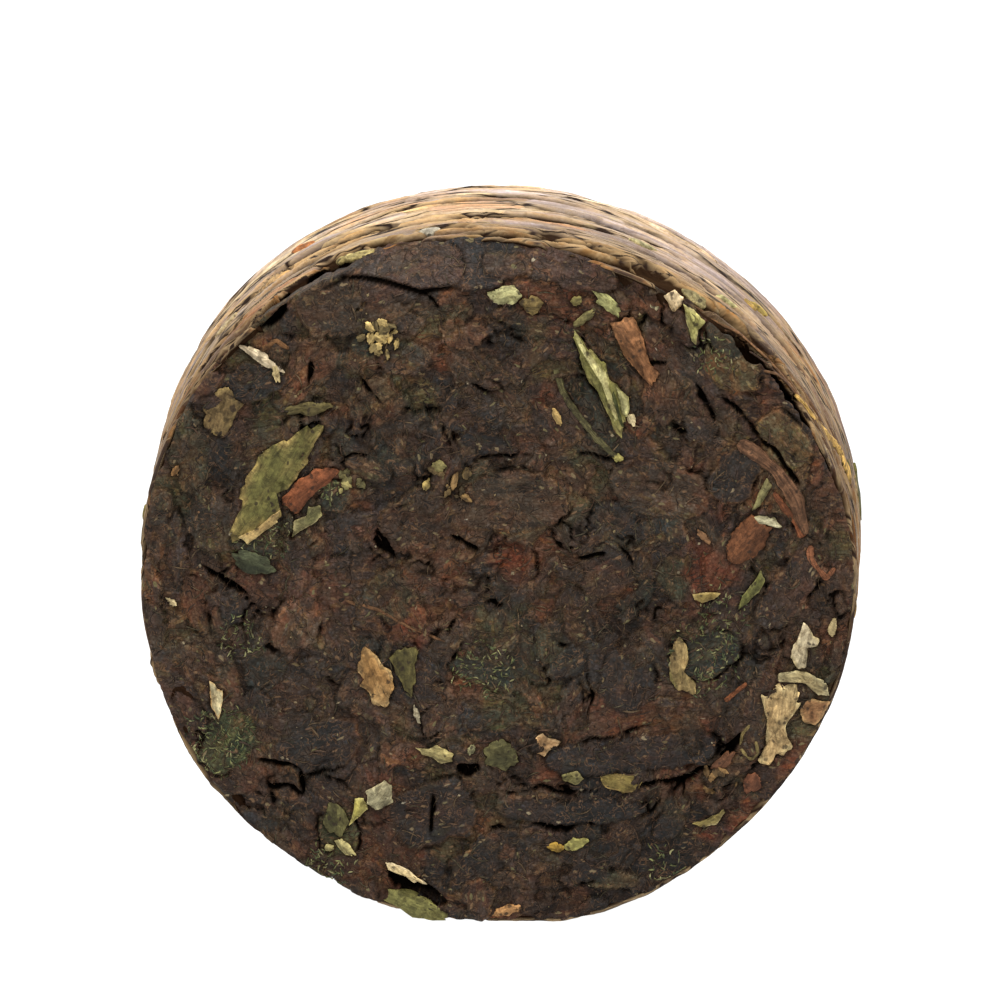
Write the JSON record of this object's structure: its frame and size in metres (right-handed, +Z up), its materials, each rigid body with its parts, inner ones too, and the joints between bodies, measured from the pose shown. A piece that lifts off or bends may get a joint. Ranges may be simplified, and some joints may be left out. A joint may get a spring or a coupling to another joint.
{
  "type": "pressed tea cake",
  "caption": "Small round cake of aged tea leaf pressed in a mould, with two flat leafy faces and a straight layered wall, standing on its edge, to be brewed whole.",
  "frame": {"origin": "middle of the worn flat on the cake's edge that it stands on", "axes": "+Z up, +Y from the front face to the back face along the cake's axis, +X to the right as the front is seen"},
  "size_m": [0.0281, 0.01, 0.0277],
  "materials": {
    "pressed_leaf": "matte dark brown pressed leaf, mottled red brown and olive, with dark gaps between the leaves",
    "pale_flake": "matte dry leaf flake, tan to olive green",
    "leaf_stem": "satin red brown twig"
  },
  "bodies": {
    "root": {"pressed_tea_cake": "pressed_leaf"}
  },
  "joints": []
}
